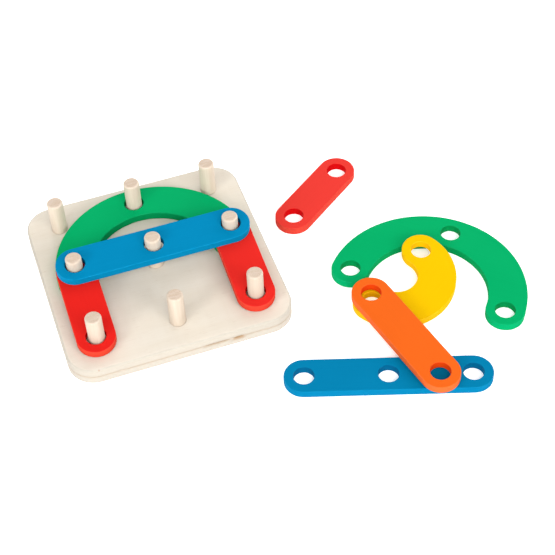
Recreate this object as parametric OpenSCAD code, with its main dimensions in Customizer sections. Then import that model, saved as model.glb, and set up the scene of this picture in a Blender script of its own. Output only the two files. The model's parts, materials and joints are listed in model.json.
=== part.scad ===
// Letter and number pegboard set.
// A square board carries nine fixed pegs in a 3 x 3 grid. Flat bars and half rings with
// holes are threaded onto the pegs, on top of each other, to draw characters. Four pieces
// are on the board and draw a capital A, and five lie beside it.
// Millimetres, +Z up. The origin is the centre of the board's underside, +X runs along
// the peg rows and +Y to the back of the board.

/* [Board] */
// Side of the square board
board_side = 141; // [136:1:170]
// Radius of the board's corners in plan
board_corner_r = 17; // [8:1:30]
// Thickness of each of the two panels that are glued face to face
panel_t = 5.8; // [4:0.1:9]

/* [Pegs] */
// Distance between neighbouring pegs, along a row and from row to row
peg_pitch = 50; // [40:0.5:55]
// Diameter of a peg
peg_d = 10; // [8:0.5:11]
// Height of the pegs above the board
peg_stand = 24.1; // [18:0.1:40]
// Height of the sloping edge round a peg's top
peg_ease = 0.7; // [0.2:0.1:1.5]
// Diameter of the tenon under a peg, which is glued into the board
tenon_d = 7; // [5:0.5:7.5]
// Depth of the tenon in the lower panel
tenon_depth = 3; // [1:0.5:3.5]
// Gap between a tenon and its socket, which the glue fills
socket_gap = 0.1; // [0.05:0.05:0.2]

/* [Bars and half rings] */
// Thickness of the bars and half rings
piece_t = 5.5; // [4:0.1:6]
// Width of the bars and half rings
piece_w = 24; // [20:0.5:26]
// Diameter of their holes
hole_d = 12.5; // [12:0.1:14]
// Gap left between pieces that rest on each other
rest_gap = 0.12; // [0.1:0.01:0.3]

/* [Loose short bar] */
// Place of its first hole, left to right
loose_short_bar_x = 96.5; // [90:0.1:130]
// Place of its first hole, front to back
loose_short_bar_y = 13.6; // [0:0.1:60]
// Turn about the vertical
loose_short_bar_turn = 35.8; // [20:0.1:60]

/* [Loose large half ring] */
// Place of its centre, left to right
loose_large_ring_x = 152.8; // [150:0.1:160]
// Place of its centre, front to back
loose_large_ring_y = -74.4; // [-80:0.1:-70]
// Turn about the vertical
loose_large_ring_turn = -40.5; // [-45:0.1:-35]

/* [Loose long bar] */
// Place of its first hole, left to right
loose_long_bar_x = 58.7; // [50:0.1:64]
// Place of its first hole, front to back
loose_long_bar_y = -111.5; // [-120:0.1:-108]
// Turn about the vertical
loose_long_bar_turn = -18.4; // [-24:0.1:-14]

/* [Loose small half ring] */
// Place of its centre, left to right
loose_small_ring_x = 138.8; // [136:0.1:141]
// Place of its centre, front to back
loose_small_ring_y = -59.6; // [-62:0.1:-57]
// Turn about the vertical
loose_small_ring_turn = 210.8; // [206:0.1:216]
// Height of its underside at its centre
loose_small_ring_lift = 3.3; // [3:0.05:4]
// Slope along the line through its two holes
loose_small_ring_rise = -3.9; // [-4.5:0.1:-3]
// Slope across the line through its two holes
loose_small_ring_roll = -2.9; // [-3.5:0.1:-2]

/* [Loose diagonal bar] */
// Place of its first hole, left to right
loose_diagonal_bar_x = 116.9; // [115:0.1:119]
// Place of its first hole, front to back
loose_diagonal_bar_y = -71.4; // [-74:0.1:-69]
// Turn about the vertical
loose_diagonal_bar_turn = -76.5; // [-80:0.1:-72]
// Height of its underside at its first hole
loose_diagonal_bar_lift = 7.9; // [7.7:0.05:9]
// Slope along the bar
loose_diagonal_bar_rise = -1.5; // [-2:0.1:-1]
// Slope across the bar
loose_diagonal_bar_roll = 1; // [0:0.1:2]

/* [Hidden] */
$fn = 96;
board_t = 2 * panel_t;
column_names = ["left", "middle", "right"];
row_names = ["front", "middle", "back"];
large_ring_holes = [0, 90, 180];
small_ring_holes = [0, 180];
short_bar_span = peg_pitch;
long_bar_span = 2 * peg_pitch;
diagonal_bar_span = peg_pitch * sqrt(2);
large_ring_r = peg_pitch;
small_ring_r = peg_pitch / 2;

// A short bar with its front end on the board and its rear end on a half ring leans by this angle.
lean = atan(piece_t / peg_pitch);
ring_on_board_h = board_t + rest_gap;
short_bar_h = ring_on_board_h + tan(lean) * (peg_pitch + piece_w / 2) + rest_gap;
long_bar_h = short_bar_h + piece_t / cos(lean) + rest_gap;

// Where each threaded piece sits on its pegs, within the play of its holes: x, y and turn.
large_ring_play = [-0.2, 0, 0];
left_bar_play = [-0.1, 0.4, -0.3];
right_bar_play = [0.2, 0.5, -0.3];
long_bar_play = [0.4, 0.6, -0.2];

function peg_name(column, row) = str("peg_", row_names[row + 1], "_", column_names[column + 1]);

// The half of a disc on the +X side of the origin.
module half_disc(r) {
    intersection() {
        circle(r = r);
        translate([0, -r]) square([r, 2 * r]);
    }
}

// A square centred on the origin, with round corners.
module board_outline() {
    half = board_side / 2;
    inner = half - board_corner_r;
    square([2 * inner, board_side], center = true);
    for (side = [-1, 1])
        translate([side * (inner + board_corner_r / 2), 0])
            square([board_corner_r, 2 * inner], center = true);
    for (quarter = [0:3])
        rotate(90 * quarter)
            translate([inner, inner])
                intersection() {
                    circle(r = board_corner_r);
                    square(board_corner_r);
                }
}

// Drill holes for the tenons of all nine pegs, from height low upwards.
module peg_sockets(low) {
    for (column = [-1:1], row = [-1:1])
        translate([column * peg_pitch, row * peg_pitch, low])
            cylinder(d = tenon_d + 2 * socket_gap, h = 2 * panel_t);
}

// A flat bar along +X with round ends about its first and last hole.
module bar(span, holes) {
    linear_extrude(piece_t)
        difference() {
            union() {
                translate([0, -piece_w / 2]) square([span, piece_w]);
                translate([span, 0]) half_disc(piece_w / 2);
                mirror([1, 0]) half_disc(piece_w / 2);
            }
            for (i = [0:holes - 1])
                translate([i * span / (holes - 1), 0]) circle(d = hole_d);
        }
}

// A flat half ring about the origin on the +Y side, with round ends, and a hole at each angle.
module half_ring(r, hole_angles) {
    outer_r = r + piece_w / 2;
    linear_extrude(piece_t)
        difference() {
            union() {
                difference() {
                    rotate(90) half_disc(outer_r);
                    circle(r = r - piece_w / 2);
                }
                for (side = [-1, 1])
                    translate([side * r, 0]) rotate(-90) half_disc(piece_w / 2);
            }
            for (angle = hole_angles)
                translate([r * cos(angle), r * sin(angle)]) circle(d = hole_d);
        }
}

// Puts a flat piece at a spot, turned about the vertical, and sloped along and across itself.
module laid(spot, turn, rise = 0, roll = 0) {
    translate(spot) rotate([0, 0, turn]) rotate([roll, -rise, 0]) children();
}

// A piece threaded onto the board's pegs: its place and turn come from the play of its holes.
module threaded(x, y, h, play, turn = 0, rise = 0, roll = 0) {
    laid([x + play[0], y + play[1], h], turn + play[2], rise, roll) children();
}

module board_upper_panel() {
    color("blanchedalmond")
        difference() {
            translate([0, 0, panel_t]) linear_extrude(panel_t) board_outline();
            peg_sockets(panel_t - 1);
        }
}

module board_lower_panel() {
    color("wheat")
        difference() {
            linear_extrude(panel_t) board_outline();
            peg_sockets(panel_t - tenon_depth);
        }
}

// A peg's shoulder rests on the board, round its tenon.
module peg(column, row) {
    tenon_h = panel_t + tenon_depth;
    shank_h = peg_stand - peg_ease;
    color("antiquewhite")
        translate([column * peg_pitch, row * peg_pitch, board_t]) {
            translate([0, 0, -tenon_h]) cylinder(d = tenon_d, h = tenon_h);
            cylinder(d = peg_d, h = shank_h);
            translate([0, 0, shank_h]) cylinder(d1 = peg_d, d2 = peg_d - 2 * peg_ease, h = peg_ease);
        }
}

module large_half_ring_green() {
    color("mediumseagreen")
        threaded(0, 0, ring_on_board_h, large_ring_play)
            half_ring(large_ring_r, large_ring_holes);
}

module short_bar_red(side, play) {
    color("red")
        threaded(side * peg_pitch, 0, short_bar_h, play, turn = -90, rise = -lean)
            bar(short_bar_span, 2);
}

module long_bar_blue() {
    color("deepskyblue")
        threaded(-peg_pitch, 0, long_bar_h, long_bar_play, roll = lean)
            bar(long_bar_span, 3);
}

module loose_short_bar_red() {
    color("red")
        laid([loose_short_bar_x, loose_short_bar_y, 0], loose_short_bar_turn)
            bar(short_bar_span, 2);
}

module loose_large_half_ring_green() {
    color("mediumseagreen")
        laid([loose_large_ring_x, loose_large_ring_y, 0], loose_large_ring_turn)
            half_ring(large_ring_r, large_ring_holes);
}

module loose_long_bar_blue() {
    color("deepskyblue")
        laid([loose_long_bar_x, loose_long_bar_y, 0], loose_long_bar_turn)
            bar(long_bar_span, 3);
}

module loose_small_half_ring_yellow() {
    color("gold")
        laid([loose_small_ring_x, loose_small_ring_y, loose_small_ring_lift],
             loose_small_ring_turn, loose_small_ring_rise, loose_small_ring_roll)
            half_ring(small_ring_r, small_ring_holes);
}

module loose_diagonal_bar_orange() {
    color("darkorange")
        laid([loose_diagonal_bar_x, loose_diagonal_bar_y, loose_diagonal_bar_lift],
             loose_diagonal_bar_turn, loose_diagonal_bar_rise, loose_diagonal_bar_roll)
            bar(diagonal_bar_span, 2);
}

board_upper_panel();
board_lower_panel();
for (row = [-1:1], column = [-1:1])
    peg(column, row);
large_half_ring_green();
short_bar_red(-1, left_bar_play);  // short_bar_red_left
short_bar_red(1, right_bar_play);  // short_bar_red_right
long_bar_blue();
loose_short_bar_red();
loose_large_half_ring_green();
loose_long_bar_blue();
loose_small_half_ring_yellow();
loose_diagonal_bar_orange();
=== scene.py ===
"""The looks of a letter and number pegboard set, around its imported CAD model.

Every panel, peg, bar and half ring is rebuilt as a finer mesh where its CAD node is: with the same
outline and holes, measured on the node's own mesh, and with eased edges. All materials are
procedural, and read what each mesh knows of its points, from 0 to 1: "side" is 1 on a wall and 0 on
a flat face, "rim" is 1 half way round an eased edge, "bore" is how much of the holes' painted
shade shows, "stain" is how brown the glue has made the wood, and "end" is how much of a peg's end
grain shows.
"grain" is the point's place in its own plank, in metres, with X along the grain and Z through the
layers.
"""
import json
import math
import random
from collections import namedtuple

import bpy
from mathutils import Matrix, Vector
from mathutils.geometry import delaunay_2d_cdt


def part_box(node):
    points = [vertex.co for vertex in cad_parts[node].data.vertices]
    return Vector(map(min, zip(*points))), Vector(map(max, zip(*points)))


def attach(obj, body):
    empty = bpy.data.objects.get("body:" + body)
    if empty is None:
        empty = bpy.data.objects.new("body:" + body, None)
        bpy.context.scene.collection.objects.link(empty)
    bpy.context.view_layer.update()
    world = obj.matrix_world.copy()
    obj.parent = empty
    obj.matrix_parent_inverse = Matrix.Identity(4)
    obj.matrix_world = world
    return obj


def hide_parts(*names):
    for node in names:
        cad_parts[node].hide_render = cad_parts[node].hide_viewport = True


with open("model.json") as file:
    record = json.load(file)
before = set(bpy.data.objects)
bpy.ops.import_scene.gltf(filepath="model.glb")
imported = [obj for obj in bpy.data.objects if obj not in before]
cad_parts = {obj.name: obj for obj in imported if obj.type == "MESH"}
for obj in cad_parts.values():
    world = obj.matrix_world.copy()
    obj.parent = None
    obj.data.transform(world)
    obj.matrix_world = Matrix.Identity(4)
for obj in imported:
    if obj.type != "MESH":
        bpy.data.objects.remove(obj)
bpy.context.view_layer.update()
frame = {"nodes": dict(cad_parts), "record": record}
NODES = frame["nodes"]
MM = 0.001
SEED = 7


# ---------------------------------------------------------------------------------------------
# Camera, lights and floor
# ---------------------------------------------------------------------------------------------

CAMERA_AZIMUTH = math.radians(-16.903)
CAMERA_ELEVATION = math.radians(48.836)
CAMERA_ROLL = math.radians(-2.751)
CAMERA_DISTANCE = 0.88134
CAMERA_TARGET = Vector((0.07057, -0.02892, 0.0))
CAMERA_LENS_MM = 90.61
SENSOR_MM = 36.0


def direction(azimuth, elevation):
    """The direction from a target to a viewer at an azimuth and elevation."""
    flat = math.cos(elevation)
    return Vector((math.sin(azimuth) * flat, -math.cos(azimuth) * flat, math.sin(elevation)))


def looking(position, back, right):
    """The placing of a camera or light that looks along -back, with right to its right."""
    up = back.cross(right)
    turn = Matrix((right, up, back)).transposed().to_4x4()
    return Matrix.Translation(position) @ turn


def level(azimuth):
    """The level direction to the right of a viewer at an azimuth."""
    return Vector((math.cos(azimuth), math.sin(azimuth), 0.0))


def make_camera():
    data = bpy.data.cameras.new("camera")
    data.sensor_width = SENSOR_MM
    data.lens = CAMERA_LENS_MM
    camera = bpy.data.objects.new("camera", data)
    bpy.context.scene.collection.objects.link(camera)
    back = direction(CAMERA_AZIMUTH, CAMERA_ELEVATION)
    right = level(CAMERA_AZIMUTH)
    rolled = right * math.cos(CAMERA_ROLL) + back.cross(right) * math.sin(CAMERA_ROLL)
    camera.matrix_world = looking(CAMERA_TARGET + back * CAMERA_DISTANCE, back, rolled)
    bpy.context.scene.camera = camera


LIGHT_DISTANCE = 2.0
# The soft lights: azimuth from the camera's and elevation in degrees, side in metres, and watts.
SOFTBOXES = {
    "left_softbox": (-42, 28, 0.6, 17.4),
    "right_softbox": (42, 28, 0.6, 12.1),
    "front_softbox": (0, 45, 1.35, 19.9),
    "high_right_softbox": (35, 45, 1.35, 10.8),
    "rear_right_softbox": (130, 28, 1.7, 13.6),
    "rear_softbox": (180, 28, 1.7, 14.2),
}


def softbox(name, azimuth, elevation, size, watts):
    """A square soft light that looks at the camera's target."""
    data = bpy.data.lights.new(name, "AREA")
    data.shape = "SQUARE"
    data.size = size
    data.energy = watts
    light = bpy.data.objects.new(name, data)
    bpy.context.scene.collection.objects.link(light)
    turn = CAMERA_AZIMUTH + math.radians(azimuth)
    back = direction(turn, math.radians(elevation))
    light.matrix_world = looking(CAMERA_TARGET + back * LIGHT_DISTANCE, back, level(turn))


# How bright the studio's walls are at the horizon and overhead, and the sine of the elevation from
# which they are as bright as overhead.
HORIZON_STRENGTH = 0.76
OVERHEAD_STRENGTH = 0.62
OVERHEAD_FROM = 0.25
WHITE = (1.0, 1.0, 1.0, 1.0)


def make_world():
    """A pale studio, which lights the walls of the pieces a little more than their tops."""
    world = bpy.data.worlds.new("studio")
    bpy.context.scene.world = world
    world.use_nodes = True
    tree = world.node_tree
    place = tree.nodes.new("ShaderNodeTexCoord")
    height = tree.nodes.new("ShaderNodeSeparateXYZ")
    ramp = tree.nodes.new("ShaderNodeMapRange")
    ramp.interpolation_type = "SMOOTHSTEP"
    ramp.inputs["From Min"].default_value = 0.0
    ramp.inputs["From Max"].default_value = OVERHEAD_FROM
    ramp.inputs["To Min"].default_value = HORIZON_STRENGTH
    ramp.inputs["To Max"].default_value = OVERHEAD_STRENGTH
    tree.nodes["Background"].inputs["Color"].default_value = WHITE
    tree.links.new(place.outputs["Generated"], height.inputs[0])
    tree.links.new(height.outputs["Z"], ramp.inputs["Value"])
    tree.links.new(ramp.outputs["Result"], tree.nodes["Background"].inputs["Strength"])


FLOOR_RADIUS = 4.0
FLOOR_DROP = 0.02 * MM
FLOOR_PAPER = (0.93, 0.93, 0.93, 1.0)
FLOOR_ROUGHNESS = 0.9
FLOOR_SHEEN = 0.1
# The floor gives off some light of its own, so that the shadows on it stay faint.
FLOOR_GLOW = 0.36


def make_floor():
    """A wide round sheet just under the pieces, which from below is clear."""
    shell = Shell()
    ring = [shell.add((p.x, p.y, -FLOOR_DROP)) for p, _ in arc((0, 0), FLOOR_RADIUS, 0, math.tau)]
    shell.faces.append(tuple(ring))
    floor = shell.finish("floor", Matrix.Identity(4))
    floor.data.materials.append(floor_material())


# ---------------------------------------------------------------------------------------------
# Materials
# ---------------------------------------------------------------------------------------------

class Graph:
    """A material's nodes, in short. A socket or a plain value can stand for any input."""

    def __init__(self, name):
        self.material = bpy.data.materials.new(name)
        self.material.use_nodes = True
        self.tree = self.material.node_tree
        self.shader = self.tree.nodes["Principled BSDF"]
        self.grain = self.attribute("grain").outputs["Vector"]

    def node(self, kind, inputs, **settings):
        made = self.tree.nodes.new(kind)
        for key, value in settings.items():
            setattr(made, key, value)
        for key, value in inputs.items():
            self.plug(made.inputs[key], value)
        return made

    def plug(self, socket, value):
        if isinstance(value, bpy.types.NodeSocket):
            self.tree.links.new(value, socket)
        else:
            socket.default_value = value

    def attribute(self, name):
        return self.node("ShaderNodeAttribute", {}, attribute_name=name)

    def value(self, name):
        """A number that the mesh holds at each point."""
        return self.attribute(name).outputs["Fac"]

    def math(self, operation, a, b=0.0, c=0.0):
        return self.node("ShaderNodeMath", {0: a, 1: b, 2: c}, operation=operation).outputs[0]

    def noise(self, per_metre, detail=2.0, roughness=0.5):
        """Noise in the plank, with the given number of cells to the metre along X, Y and Z."""
        place = self.node("ShaderNodeMapping", {"Vector": self.grain, "Scale": per_metre}).outputs[0]
        inputs = {"Vector": place, "Scale": 1.0, "Detail": detail, "Roughness": roughness}
        return self.node("ShaderNodeTexNoise", inputs).outputs["Fac"]

    def ramp(self, value, low, high, start=0.0, end=1.0):
        """start below low, end above high, and smooth between them."""
        inputs = {"Value": value, "From Min": low, "From Max": high, "To Min": start, "To Max": end}
        made = self.node("ShaderNodeMapRange", inputs, interpolation_type="SMOOTHSTEP")
        return made.outputs["Result"]

    def spread(self, noise):
        """Noise, most of which lies between 0.3 and 0.7, stretched to run from 0 to 1."""
        return self.ramp(noise, 0.3, 0.7)

    def mix(self, factor, a, b):
        """The colour a, or b where factor is 1."""
        made = self.node("ShaderNodeMix", {"Factor": factor}, data_type="RGBA")
        self.plug(made.inputs[6], a if isinstance(a, bpy.types.NodeSocket) else (*a, 1.0))
        self.plug(made.inputs[7], b if isinstance(b, bpy.types.NodeSocket) else (*b, 1.0))
        return made.outputs[2]

    def bump(self, height, depth):
        return self.node("ShaderNodeBump", {"Height": height, "Distance": depth}).outputs["Normal"]

    def total(self, *shares):
        """The sum of (weight, socket) pairs."""
        result = 0.0
        for weight, socket in shares:
            result = self.math("MULTIPLY_ADD", socket, weight, result)
        return result


def tinted(colour, factor):
    return tuple(min(1.0, channel * factor) for channel in colour)


def blended(colour, other, share):
    return tuple(a + (b - a) * share for a, b in zip(colour, other))


PAINT_ROUGHNESS = 0.48
PAINT_SHEEN = 0.015
PAINT_RELIEF = 0.035 * MM


def paint_material(name, face, wall, thin, bore):
    """Satin paint on sanded ply: the colours are for its faces, its walls (lighter: painted light),
    edges lightened by wear and a painted highlight, and holes (deeper: painted shade).
    """
    g = Graph(name)
    fibres = g.noise((45.0, 1500.0, 1500.0), detail=3.0)
    plies = g.noise((160.0, 160.0, 1700.0))
    cloud = g.noise((24.0, 30.0, 30.0), detail=1.0)
    peel = g.noise((900.0, 900.0, 900.0), detail=1.0)
    specks = g.ramp(g.noise((420.0, 700.0, 700.0), detail=1.0), 0.74, 0.80)
    side = g.value("side")
    shade = g.total((0.15, g.spread(cloud)), (0.10, g.spread(fibres)), (0.2, specks))
    # Walls take the wall colour, which is mostly a little lighter than the face's: painted light.
    colour = g.mix(side, g.mix(shade, face, tinted(face, 0.80)), wall)
    # Holes, and a half ring's inner wall where it faces the ring's centre, take the holes' darker,
    # deeper colour: painted shade.
    colour = g.mix(g.value("bore"), colour, bore)
    # Patches along the rounded edges turn to the thin colour, which is lighter: partly wear, partly a
    # painted highlight.
    patches = g.ramp(g.noise((130.0, 240.0, 240.0)), 0.35, 0.75, 0.05, 0.35)
    wear_and_highlight = g.math("MULTIPLY", g.value("rim"), patches)
    g.plug(g.shader.inputs["Base Color"], g.mix(wear_and_highlight, colour, thin))
    dull = g.total((0.12, g.spread(cloud)), (0.06, fibres), (0.10, side))
    g.plug(g.shader.inputs["Roughness"], g.math("ADD", dull, PAINT_ROUGHNESS))
    relief = g.total((1.0, fibres), (0.45, peel), (0.8, g.math("MULTIPLY", plies, side)))
    g.plug(g.shader.inputs["Normal"], g.bump(relief, PAINT_RELIEF))
    g.shader.inputs["Specular IOR Level"].default_value = PAINT_SHEEN
    return g.material


def floor_material():
    """White paper, which can't be seen from below."""
    g = Graph("white_paper")
    g.shader.inputs["Base Color"].default_value = FLOOR_PAPER
    g.shader.inputs["Roughness"].default_value = FLOOR_ROUGHNESS
    g.shader.inputs["Specular IOR Level"].default_value = FLOOR_SHEEN
    g.shader.inputs["Emission Color"].default_value = WHITE
    g.shader.inputs["Emission Strength"].default_value = FLOOR_GLOW
    clear = g.node("ShaderNodeBsdfTransparent", {}).outputs[0]
    behind = g.node("ShaderNodeNewGeometry", {}).outputs["Backfacing"]
    inputs = {0: behind, 1: g.shader.outputs[0], 2: clear}
    surface = g.node("ShaderNodeMixShader", inputs).outputs[0]
    g.plug(g.tree.nodes["Material Output"].inputs["Surface"], surface)
    return g.material


BIRCH = (0.575, 0.530, 0.458)
BIRCH_DARK = (0.485, 0.412, 0.322)
BIRCH_PORE = (0.400, 0.300, 0.205)
# The edges are darker than the faces: partly the ply's own colour and partly painted shade.
BIRCH_EDGE = (0.446, 0.409, 0.353)
BIRCH_EDGE_DARK = (0.376, 0.322, 0.255)
GLUE_LINE = (0.31, 0.19, 0.095)
GLUE_SHARE = 0.10
GLUE_CORE = 0.05 * MM
GLUE_REACH = 0.25 * MM
# A small brown fleck in the upper panel, on the rounding of its front edge.
FLECK = Vector((-54.5 * MM, -70.2 * MM, 11.2 * MM))
FLECK_R = 0.9 * MM
FLECK_BROWN = (0.36, 0.20, 0.14)
FLECK_SHARE = 0.6
LACQUER_ROUGHNESS = 0.48
LACQUER_SHEEN = 0.2
BIRCH_RELIEF = 0.04 * MM


def birch_edge(g, plies, joints):
    """The edge's colour: wood, with faint lines of glue at the heights of the joints between plies."""
    edge = g.mix(g.ramp(plies, 0.3, 0.7, 0.0, 0.35), BIRCH_EDGE, BIRCH_EDGE_DARK)
    height = g.node("ShaderNodeSeparateXYZ", {0: g.grain}).outputs["Z"]
    line = 0.0
    for joint in joints:
        gap = g.math("ABSOLUTE", g.math("SUBTRACT", height, joint))
        line = g.math("MAXIMUM", line, g.ramp(gap, GLUE_CORE, GLUE_REACH, GLUE_SHARE, 0.0))
    return g.mix(line, edge, GLUE_LINE)


def birch_material(name, joints):
    """Birch plywood under clear matt lacquer. joints are the heights of the joints between plies."""
    g = Graph(name)
    side = g.value("side")
    bands = g.ramp(g.noise((9.0, 75.0, 75.0)), 0.38, 0.68)
    fibres = g.noise((38.0, 1900.0, 1900.0), detail=3.0, roughness=0.6)
    pores = g.ramp(g.noise((140.0, 2600.0, 2600.0), detail=1.0), 0.66, 0.74)
    cloud = g.noise((16.0, 16.0, 16.0))
    ripple = g.ramp(g.noise((230.0, 22.0, 22.0), detail=1.0), 0.35, 0.65)
    plies = g.noise((500.0, 500.0, 2600.0))
    shade = g.total((0.16, bands), (0.14, g.spread(fibres)), (0.12, g.spread(cloud)), (0.06, ripple))
    face = g.mix(g.math("MULTIPLY", pores, 0.3), g.mix(shade, BIRCH, BIRCH_DARK), BIRCH_PORE)
    # The edge colour starts early on the rounding of the top edge, which paints shade over the rounding
    # and damps its highlight.
    colour = g.mix(g.ramp(side, 0.0, 0.65), face, birch_edge(g, plies, joints))
    off = g.node("ShaderNodeVectorMath", {0: g.grain, 1: FLECK}, operation="DISTANCE").outputs["Value"]
    colour = g.mix(g.ramp(off, FLECK_R / 3, FLECK_R, FLECK_SHARE, 0.0), colour, FLECK_BROWN)
    g.plug(g.shader.inputs["Base Color"], g.mix(g.value("stain"), colour, GLUE_LINE))
    dull = g.total((0.12, g.spread(cloud)), (0.10, fibres), (0.12, side))
    g.plug(g.shader.inputs["Roughness"], g.math("ADD", dull, LACQUER_ROUGHNESS))
    relief = g.total((1.0, fibres), (-0.8, pores), (1.0, g.math("MULTIPLY", plies, side)))
    relief = g.math("MULTIPLY", relief, g.ramp(side, 0.0, 1.0, 1.0, 0.2))
    g.plug(g.shader.inputs["Normal"], g.bump(relief, BIRCH_RELIEF))
    g.shader.inputs["Specular IOR Level"].default_value = LACQUER_SHEEN
    return g.material


DOWEL = (0.597, 0.514, 0.420)
DOWEL_DARK = (0.508, 0.411, 0.312)
END_GRAIN = (0.489, 0.400, 0.325)
END_GRAIN_DARK = (0.376, 0.273, 0.195)
DOWEL_ROUGHNESS = 0.5
END_GRAIN_ROUGHNESS = 0.62
DOWEL_SHEEN = 0.3
DOWEL_RELIEF = 0.05 * MM


def dowel_material(name, tone_and_shade):
    """Unpainted dowel: pale along its side, and darker and pinker where its end grain shows."""
    g = Graph(name)
    end = g.value("end")
    fibres = g.noise((60.0, 1700.0, 1700.0), detail=3.0, roughness=0.6)
    bands = g.noise((12.0, 330.0, 330.0), detail=1.0)
    shade = g.total((0.35, g.spread(fibres)), (0.25, g.ramp(bands, 0.35, 0.65)))
    # The side's colour is scaled for this peg: partly its own colour, partly painted shade and light.
    side = g.mix(shade, tinted(DOWEL, tone_and_shade), tinted(DOWEL_DARK, tone_and_shade))
    vessels = g.noise((900.0, 1900.0, 1900.0))
    rings = g.noise((30.0, 120.0, 700.0), detail=1.0)
    mottle = g.total((0.45, g.ramp(vessels, 0.35, 0.7)), (0.3, g.ramp(rings, 0.35, 0.65)))
    g.plug(g.shader.inputs["Base Color"], g.mix(end, side, g.mix(mottle, END_GRAIN, END_GRAIN_DARK)))
    dull = g.ramp(end, 0.0, 1.0, DOWEL_ROUGHNESS, END_GRAIN_ROUGHNESS)
    g.plug(g.shader.inputs["Roughness"], g.total((0.15, fibres), (1.0, dull)))
    relief = g.total((1.0, fibres), (1.2, g.math("MULTIPLY", vessels, end)))
    g.plug(g.shader.inputs["Normal"], g.bump(relief, DOWEL_RELIEF))
    g.shader.inputs["Specular IOR Level"].default_value = DOWEL_SHEEN
    return g.material


# ---------------------------------------------------------------------------------------------
# Outlines: lists of (point, the direction that leaves the material there)
# ---------------------------------------------------------------------------------------------

ARC_STEP = math.radians(4.5)
LINE_STEP = 1.5 * MM


def arc(centre, radius, start, end, outward=1):
    """The points of an arc, without its last one."""
    count = math.ceil(abs(end - start) / ARC_STEP)
    angles = [start + (end - start) * i / count for i in range(count)]
    rays = [Vector((math.cos(a), math.sin(a))) for a in angles]
    return [(Vector(centre) + ray * radius, ray * outward) for ray in rays]


def line(start, end):
    """The points of a straight stretch with the material on its left, without its ends."""
    start, end = Vector(start), Vector(end)
    along = end - start
    count = math.ceil(along.length / LINE_STEP)
    away = Vector((along.y, -along.x)).normalized()
    return [(start + along * (i / count), away) for i in range(1, count)]


def hole(centre, radius):
    """A round hole, walked clockwise, so that the material is on its left too."""
    return arc(centre, radius, math.tau, 0.0, outward=-1)


def bar_outline(length, half):
    quarter = math.pi / 2
    right = arc((length, 0), half, -quarter, quarter) + [(Vector((length, half)), Vector((0, 1)))]
    left = arc((0, 0), half, quarter, 3 * quarter) + [(Vector((0, -half)), Vector((0, -1)))]
    return right + line((length, half), (0, half)) + left + line((0, -half), (length, -half))


def half_ring_outline(radius, half):
    outer = arc((0, 0), radius + half, 0, math.pi)
    left_end = arc((-radius, 0), half, math.pi, math.tau)
    inner = arc((0, 0), radius - half, math.pi, 0, outward=-1)
    right_end = arc((radius, 0), half, math.pi, math.tau)
    return outer + left_end + inner + right_end


def rounded_rectangle(half_x, half_y, corner):
    """A rectangle about the origin, from its right side anticlockwise."""
    outline = []
    flat_x, flat_y = half_x - corner, half_y - corner
    corners = [(flat_x, flat_y), (-flat_x, flat_y), (-flat_x, -flat_y), (flat_x, -flat_y)]
    for i, centre in enumerate(corners):
        start, end = i * math.pi / 2, (i + 1) * math.pi / 2
        outline += arc(centre, corner, start, end)
        ray = Vector((round(math.cos(end)), round(math.sin(end))))
        last = Vector(centre) + ray * corner
        outline.append((last, ray))
        following = Vector(corners[(i + 1) % 4]) + ray * corner
        outline += line(last, following)
    return outline


# ---------------------------------------------------------------------------------------------
# Meshes
# ---------------------------------------------------------------------------------------------

# A second ring of points this far from an edge holds the smooth shading to the edge.
HOLD = 0.18 * MM
# The distance between the points inside a flat face.
LATTICE = 5.0 * MM
EASE_STEPS = 5
# delaunay_2d_cdt's choice of what to return, the triangles inside the outline, and its tolerance.
INSIDE = 1
TINY = 1e-8


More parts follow.
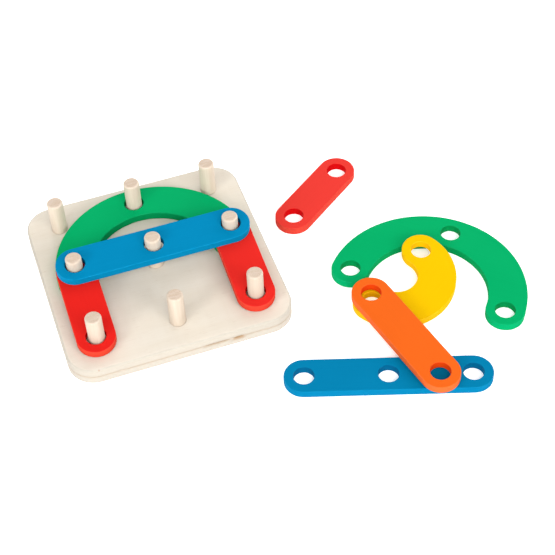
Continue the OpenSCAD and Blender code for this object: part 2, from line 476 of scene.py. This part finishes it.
class Shell:
    """A closed mesh in the making: its points and faces, and what each point knows."""

    def __init__(self):
        self.points = []
        self.faces = []
        self.values = {"side": [], "rim": [], "bore": [], "stain": [], "end": []}

    def add(self, point, **values):
        self.points.append(Vector(point))
        for name, held in self.values.items():
            held.append(values.get(name, 0.0))
        return len(self.points) - 1

    def wall(self, outline, levels, bore=None):
        """A wall up an outline. A level is (inset, height, values); returns the first and last ring."""
        rings = []
        for inset, height, values in levels:
            ring = []
            for point, away in outline:
                place = point - away * inset
                # How much of the holes' painted shade this point takes.
                depth = bore(point, away) * values.get("side", 0.0) if bore else 0.0
                ring.append(self.add((place.x, place.y, height), **values, bore=depth))
            rings.append(ring)
        for low, high in zip(rings, rings[1:]):
            for i, after in enumerate(low[1:] + low[:1]):
                self.faces.append((low[i], after, high[(i + 1) % len(high)], high[i]))
        return rings[0], rings[-1]

    def cap(self, rings, up=True, lattice=LATTICE):
        """The flat face inside the first ring and outside the others."""
        indices = [i for ring in rings for i in ring]
        flat = [self.points[i].xy for i in indices]
        edges = []
        for ring in rings:
            first = len(edges)
            edges += [(first + i, first + (i + 1) % len(ring)) for i in range(len(ring))]
        height = self.points[indices[0]].z
        values = {name: held[indices[0]] for name, held in self.values.items()}
        for point in lattice_points(flat, rings, lattice):
            flat.append(point)
            indices.append(self.add((point.x, point.y, height), **values))
        holes = loops_of(flat, rings)[1:]
        made, _, faces, sources, _, _ = delaunay_2d_cdt(flat, edges, [], INSIDE, TINY)
        for face in faces:
            centre = sum((made[i] for i in face), Vector((0, 0))) / len(face)
            if not any(holds(loop, centre) for loop in holes):
                corners = [indices[sources[i][0]] for i in face]
                self.faces.append(tuple(corners if up else reversed(corners)))

    def finish(self, name, place, grain=None):
        """The object, with its values. grain turns a point into its place in the plank."""
        mesh = bpy.data.meshes.new(name)
        mesh.from_pydata([place @ point for point in self.points], [], self.faces)
        mesh.shade_smooth()
        for key, held in self.values.items():
            mesh.attributes.new(key, "FLOAT", "POINT").data.foreach_set("value", held)
        if grain:
            flat = [channel for point in self.points for channel in grain(point)]
            mesh.attributes.new("grain", "FLOAT_VECTOR", "POINT").data.foreach_set("vector", flat)
        piece = bpy.data.objects.new(name, mesh)
        bpy.context.scene.collection.objects.link(piece)
        return piece


def loops_of(flat, rings):
    """The flat points of each ring, where flat starts with all of them in order."""
    loops = []
    first = 0
    for ring in rings:
        loops.append(flat[first:first + len(ring)])
        first += len(ring)
    return loops


def lattice_points(flat, rings, spacing):
    """Points on a lattice inside the first ring and outside the others, clear of all of them."""
    loops = loops_of(flat, rings)
    low = Vector((min(p.x for p in flat), min(p.y for p in flat)))
    high = Vector((max(p.x for p in flat), max(p.y for p in flat)))
    found = []
    for row in range(1, int((high.y - low.y) / spacing) + 1):
        for column in range(1, int((high.x - low.x) / spacing) + 1):
            shift = 0.5 * (row % 2)
            point = Vector((low.x + (column - shift) * spacing, low.y + (row - 0.5) * spacing))
            inside = [holds(loop, point) for loop in loops]
            if not inside[0] or any(inside[1:]):
                continue
            if min((p - point).length_squared for p in flat) > (0.5 * spacing) ** 2:
                found.append(point)
    return found


def holds(loop, point):
    """Whether a point is inside a loop."""
    inside = False
    for a, b in zip(loop, loop[1:] + loop[:1]):
        if (a.y > point.y) != (b.y > point.y):
            if point.x < a.x + (b.x - a.x) * (point.y - a.y) / (b.y - a.y):
                inside = not inside
    return inside


def rounding(face, ease, way):
    """The levels of a rounded edge, from its flat face to its wall. way is 1 upwards, -1 downwards."""
    levels = [(ease + HOLD, face, {})]
    for i in range(EASE_STEPS + 1):
        angle = math.pi / 2 * i / EASE_STEPS
        inset = ease * (1 - math.sin(angle))
        height = face + way * ease * (1 - math.cos(angle))
        levels.append((inset, height, {"side": math.sin(angle), "rim": math.sin(2 * angle)}))
    return levels


def eased_edge(bottom, top, low_ease, high_ease, rings=1):
    """The levels of a wall with a rounded lower and upper edge, and rings between them."""
    low, high = bottom + low_ease + HOLD, top - high_ease - HOLD
    between = [(0.0, low + (high - low) * i / rings, {"side": 1.0}) for i in range(rings + 1)]
    return rounding(bottom, low_ease, 1) + between + rounding(top, high_ease, -1)[::-1]


# ---------------------------------------------------------------------------------------------
# Measuring the CAD nodes
# ---------------------------------------------------------------------------------------------

NEARLY_LEVEL = 0.9


def rims(node, up):
    """The closed rims of a node's faces that look up, or down, the longest first."""
    mesh = NODES[node].data
    ways = set()
    for face in mesh.polygons:
        if face.normal.z * (1 if up else -1) > NEARLY_LEVEL:
            corners = [tuple(round(c, 7) for c in mesh.vertices[i].co) for i in face.vertices]
            ways.update(zip(corners, corners[1:] + corners[:1]))
    after = {a: b for a, b in sorted(ways) if (b, a) not in ways}
    loops = []
    while after:
        start, point = after.popitem()
        loop = [start]
        while point != start:
            loop.append(point)
            point = after.pop(point)
        loops.append([Vector(p) for p in loop])
    return sorted(loops, key=length_of, reverse=True)


def length_of(loop):
    return sum((b - a).length for a, b in zip(loop, loop[1:] + loop[:1]))


def middle_of(loop):
    """The middle of a closed loop, each edge weighted by its length."""
    pairs = list(zip(loop, loop[1:] + loop[:1]))
    total = sum(((a + b) / 2 * (b - a).length for a, b in pairs), Vector((0, 0, 0)))
    return total / length_of(loop)


class Plate:
    """A flat CAD piece: place puts its own plane, with Z through it, where the piece is."""

    def __init__(self, node, ring):
        outer, *holes = rims(node, up=True)
        under = rims(node, up=False)[0][0]
        spots = [middle_of(loop) for loop in holes]
        pairs = [(a, b) for a in spots for b in spots]
        first, last = max(pairs, key=lambda pair: (pair[1] - pair[0]).length)
        normal = sum(((a - first).cross(b - first) for a, b in zip(outer, outer[1:] + outer[:1])),
                     Vector((0, 0, 0))).normalized()
        across = (last - first).normalized()
        onward = normal.cross(across)
        if ring and sum((p - first).dot(onward) for p in outer) < 0:
            first, last, across, onward = last, first, -across, -onward
        self.thickness = (first - under).dot(normal)
        self.span = (last - first).length
        origin = (first + last) / 2 if ring else first
        turn = Matrix((across, onward, normal)).transposed().to_4x4()
        self.place = Matrix.Translation(origin - normal * self.thickness) @ turn
        back = self.place.inverted()
        self.holes = [(back @ spot).xy for spot in spots]
        self.hole_r = max((p - spots[0]).length for p in holes[0])
        self.outer = [back @ p for p in outer]


# ---------------------------------------------------------------------------------------------
# The painted bars and half rings
# ---------------------------------------------------------------------------------------------

# The finer arcs bulge a little past the CAD's, so the painted pieces are trimmed all round.
TRIM = 0.02 * MM
PAINT_EASE = 0.45 * MM
HOLE_EASE = 0.35 * MM
# The share of the holes' painted shade on a half ring's inner wall.
HOLLOW_SHADE_SHARE = 0.7


def drilled(point, away):
    """How much of the holes' painted shade a hole's wall has: all of it."""
    return 1.0


def hollow_shade(point, away):
    """How much of the holes' painted shade a half ring's wall has: some, where it faces the ring's
    centre.
    """
    return HOLLOW_SHADE_SHARE * max(0.0, -away.dot(point.normalized()))


def random_plank():
    """Where in the wood a piece is cut from."""
    return Vector([random.uniform(-1.0, 1.0) for _ in range(3)])


def flat_piece(node):
    """A bar or half ring, cut from ply and painted, in the place of its CAD node."""
    ring = "half_ring" in node
    plate = Plate(node, ring)
    if ring:
        radius = plate.span / 2
        half = max(p.x for p in plate.outer) - radius - TRIM
        outline = half_ring_outline(radius, half)
    else:
        half = max(abs(p.y) for p in plate.outer) - TRIM
        outline = bar_outline(plate.span, half)
    shell = Shell()
    levels = eased_edge(0.0, plate.thickness, PAINT_EASE, PAINT_EASE)
    ends = [shell.wall(outline, levels, bore=hollow_shade if ring else None)]
    levels = eased_edge(0.0, plate.thickness, HOLE_EASE, HOLE_EASE)
    ends += [shell.wall(hole(spot, plate.hole_r), levels, bore=drilled) for spot in plate.holes]
    shell.cap([low for low, high in ends], up=False)
    shell.cap([high for low, high in ends])
    plank = random_plank()
    return shell.finish("painted_" + node, plate.place, lambda point: point + plank)


# ---------------------------------------------------------------------------------------------
# The board: two glued panels, and the pegs in their sockets
# ---------------------------------------------------------------------------------------------

BOARD_EASE = 1.5 * MM
FOOT_EASE = 0.7 * MM
SEAM_EASE = 0.55 * MM
SEAM_BROWN = 0.3
SEAM_SPREAD = 0.8 * MM
WALL_RINGS = 8
# The part of a panel's thickness that each of its two face plies takes.
FACE_PLY_SHARE = 0.25
# The lower panel's own place in the wood, so that its grain differs from the upper one's.
LOWER_PLANK = Vector((0.4, 0.3, 0.0))
# Points this close to a panel's side are on it.
ON_SIDE = 0.01 * MM

# The open stretches of the glued joint at the front: along is their place on X, and above their height
# above the joint. brown is how much glue shows inside.
Gap = namedtuple("Gap", "along above half_length half_height depth brown")
GAPS = [
    Gap(32.0 * MM, -1.0 * MM, half_length=3.6 * MM, half_height=1.6 * MM, depth=1.3 * MM, brown=1.0),
    Gap(18.0 * MM, -0.4 * MM, half_length=8.0 * MM, half_height=0.9 * MM, depth=1.8 * MM, brown=0.95),
]

# A socket's mouth is a little wider than its peg, to this depth.
MOUTH_GAP = 0.03 * MM
MOUTH_DEPTH = 0.1 * MM
MOUTH_EASE = 0.05 * MM


def pegs():
    return [node for node in sorted(NODES) if node.startswith("peg_")]


def middle_of_box(node):
    low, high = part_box(node)
    return (low + high) / 2


def radius_of(loop, middle):
    return max((point.xy - middle.xy).length for point in loop)


def open_joint(shell, joint):
    """Browns the edge along the glued joint, and pushes the front edge in where the joint is open."""
    front = min(point.y for point in shell.points)
    for i, point in enumerate(shell.points):
        if shell.values["side"][i] == 0.0:
            continue
        shell.values["stain"][i] = SEAM_BROWN * math.exp(-((point.z - joint) / SEAM_SPREAD) ** 2)
        if point.y > front + SEAM_EASE + HOLD:
            continue
        for gap in GAPS:
            along = (point.x - gap.along) / gap.half_length
            above = (point.z - joint - gap.above) / gap.half_height
            share = math.exp(-along ** 4 - above ** 4)
            point.y += gap.depth * share
            shell.values["stain"][i] = max(shell.values["stain"][i], gap.brown * share)


def socket_levels(inner, socket_r, low, high, is_upper):
    """The levels of a peg's socket: through the upper panel, or down to the tenon's end in the lower."""
    peg_low, peg_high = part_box(inner)
    if not is_upper:
        return [(0.0, peg_low.z, {}), (0.0, peg_low.z + HOLD, {"side": 1.0}), (0.0, high.z, {})]
    wide = (peg_high.x - peg_low.x) / 2 + MOUTH_GAP - socket_r
    step = high.z - MOUTH_DEPTH
    levels = [(0.0, low.z, {}), (0.0, low.z + HOLD, {"side": 1.0}), (0.0, step, {"side": 1.0})]
    levels += [(HOLD, step, {}), (wide, step, {}), (wide, high.z - MOUTH_EASE, {"side": 1.0})]
    levels += [(wide + MOUTH_EASE, high.z, {}), (wide + MOUTH_EASE + HOLD, high.z, {})]
    return levels


def panel(node, is_upper):
    """One of the two glued panels, with its share of the pegs' sockets."""
    low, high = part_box(node)
    outer, *mouths = rims(node, up=True)
    corner = high.y - max(p.y for p in outer if high.x - p.x < ON_SIDE)
    outline = rounded_rectangle(high.x, high.y, corner)
    eases = (SEAM_EASE, BOARD_EASE) if is_upper else (FOOT_EASE, SEAM_EASE)
    shell = Shell()
    bottom, top = shell.wall(outline, eased_edge(low.z, high.z, *eases, rings=WALL_RINGS))
    bottoms, tops = [bottom], [top]
    for inner in pegs():
        middle = middle_of_box(inner)
        nearest = min(mouths, key=lambda mouth: (middle_of(mouth).xy - middle.xy).length)
        socket_r = radius_of(nearest, middle)
        levels = socket_levels(inner, socket_r, low, high, is_upper)
        foot, mouth = shell.wall(hole(middle.xy, socket_r), levels)
        tops.append(mouth)
        if is_upper:
            bottoms.append(foot)
        else:
            shell.cap([foot])
    shell.cap(bottoms, up=False)
    shell.cap(tops)
    open_joint(shell, low.z if is_upper else high.z)
    plank = Vector() if is_upper else LOWER_PLANK
    return shell.finish("birch_" + node, Matrix.Identity(4), lambda point: point + plank)


SHOULDER_EASE = 0.06 * MM
TENON_EASE = 0.36 * MM
PEG_LATTICE = 1.5 * MM
# How fast the end grain fades out down the rounding of a peg's top.
END_FADE = 1.3


def peg(node):
    """A turned peg: a tenon in the board, a shoulder on it, and a rounded top."""
    low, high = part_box(node)
    middle = middle_of_box(node)
    under = rims(node, up=False)
    peg_r, tenon_r = radius_of(under[0], middle), radius_of(under[-1], middle)
    shoulder = under[0][0].z
    # A rounding of this radius touches the middle of the CAD peg's sloping edge.
    ease = (peg_r - radius_of(rims(node, up=True)[0], middle)) / (2.0 - math.sqrt(2.0))
    neck = peg_r - tenon_r
    profile = [(neck + TENON_EASE + HOLD, low.z, {}), (neck + TENON_EASE, low.z, {})]
    profile += [(neck, low.z + TENON_EASE, {}), (neck, shoulder - HOLD, {})]
    profile += [(neck, shoulder, {}), (neck - HOLD, shoulder, {})]
    profile += eased_edge(shoulder, high.z, SHOULDER_EASE, ease, rings=WALL_RINGS)
    for i, (inset, height, values) in enumerate(profile):
        side = values.get("side", 0.0)
        end = 1.0 - min(1.0, END_FADE * side) if height > high.z - ease / 2 else 0.0
        profile[i] = (inset, height, {"side": side, "end": end})
    shell = Shell()
    bottom, top = shell.wall(arc(middle.xy, peg_r, 0.0, math.tau), profile)
    shell.cap([bottom], up=False, lattice=PEG_LATTICE)
    shell.cap([top], lattice=PEG_LATTICE)
    plank = random_plank()
    return shell.finish("dowel_" + node, Matrix.Identity(4),
                        lambda point: Vector((point.z, point.x, point.y)) + plank)


# ---------------------------------------------------------------------------------------------
# Everything
# ---------------------------------------------------------------------------------------------

# Each paint's colour on the faces, on the walls, where it is thin, and in the holes. The walls' colour,
# mostly a little lighter than the faces', is painted light; the holes' darker, deeper colour is painted
# shade; and the thin colour also lightens edges, partly as wear and partly as a painted highlight.
PAINTS = {
    "green_paint": {"face": (0.0002, 0.284, 0.091), "wall": (0.0006, 0.285, 0.100),
                    "thin": (0.02, 0.37, 0.16), "hole": (0.0002, 0.207, 0.055)},
    "red_paint": {"face": (0.532, 0.012, 0.009), "wall": (0.565, 0.044, 0.023),
                  "thin": (0.62, 0.06, 0.045), "hole": (0.64, 0.003, 0.005)},
    "blue_paint": {"face": (0.0001, 0.163, 0.323), "wall": (0.0004, 0.178, 0.354),
                   "thin": (0.01, 0.24, 0.43), "hole": (0.0001, 0.124, 0.268)},
    "yellow_paint": {"face": (0.605, 0.370, 0.0002), "wall": (0.655, 0.370, 0.0040),
                     "thin": (0.72, 0.48, 0.04), "hole": (0.70, 0.41, 0.0010)},
    "orange_paint": {"face": (0.578, 0.091, 0.008), "wall": (0.638, 0.109, 0.024),
                     "thin": (0.68, 0.15, 0.04), "hole": (0.63, 0.052, 0.003)},
}
# Where a piece's own coat differs: how thin it is on the faces and walls, instead of 0, and how light
# it is on the faces, on the walls and in the holes, instead of 1. The wall and hole factors scale the
# painted light on the walls and the painted shade in the holes.
COATS = {
    "short_bar_red_right": {"thinness": 0.09, "wall": 1.03},
    "loose_short_bar_red": {"thinness": 0.42, "face": 0.99, "wall": 0.87, "hole": 0.75},
    "loose_long_bar_blue": {"face": 0.87, "wall": 0.83, "hole": 0.84},
}

# How light each peg's side is, against the dowel's own colours: partly each dowel's own colour, and
# partly painted shade and light, which run darker towards the front row.
PEG_TONE_AND_SHADE = {
    "peg_back_left": 0.98,
    "peg_back_middle": 1.04,
    "peg_back_right": 1.03,
    "peg_front_left": 0.88,
    "peg_front_middle": 0.92,
    "peg_front_right": 0.90,
    "peg_middle_left": 0.89,
    "peg_middle_middle": 0.97,
    "peg_middle_right": 0.95,
}


def coat_colours(node, slot):
    """A painted piece's colours on its faces and walls, with painted light on the walls, where its coat
    is thin, and in its holes, with painted shade.
    """
    paint = PAINTS[slot]
    coat = {"thinness": 0.0, "face": 1.0, "wall": 1.0, "hole": 1.0, **COATS.get(node, {})}
    face = tinted(blended(paint["face"], paint["thin"], coat["thinness"]), coat["face"])
    wall = tinted(blended(paint["wall"], paint["thin"], coat["thinness"]), coat["wall"])
    return face, wall, tinted(paint["thin"], coat["face"]), tinted(paint["hole"], coat["hole"])


def material_of(node, slot):
    """A material for one piece: paint, dowel or birch ply."""
    if slot in PAINTS:
        return paint_material(slot + "_of_" + node, *coat_colours(node, slot))
    if node in PEG_TONE_AND_SHADE:
        return dowel_material("dowel_of_" + node, PEG_TONE_AND_SHADE[node])
    low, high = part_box(node)
    ply = FACE_PLY_SHARE * (high.z - low.z)
    return birch_material("birch_" + node, [low.z + ply, high.z - ply])


def make_pieces():
    record = frame["record"]
    bodies = {node: body for body, nodes in record["behaviour"]["bodies"].items() for node in nodes}
    slots = {part["node"]: part["material_slot"] for part in record["subparts"]}
    for node in sorted(NODES):
        if node.startswith("board_"):
            piece = panel(node, is_upper="upper" in node)
        elif node.startswith("peg_"):
            piece = peg(node)
        else:
            piece = flat_piece(node)
        piece.data.materials.append(material_of(node, slots[node]))
        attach(piece, bodies[node])
        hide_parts(node)


random.seed(SEED)
bpy.context.scene.view_settings.view_transform = "Standard"
make_camera()
make_world()
for light, settings in SOFTBOXES.items():
    softbox(light, *settings)
make_floor()
make_pieces()
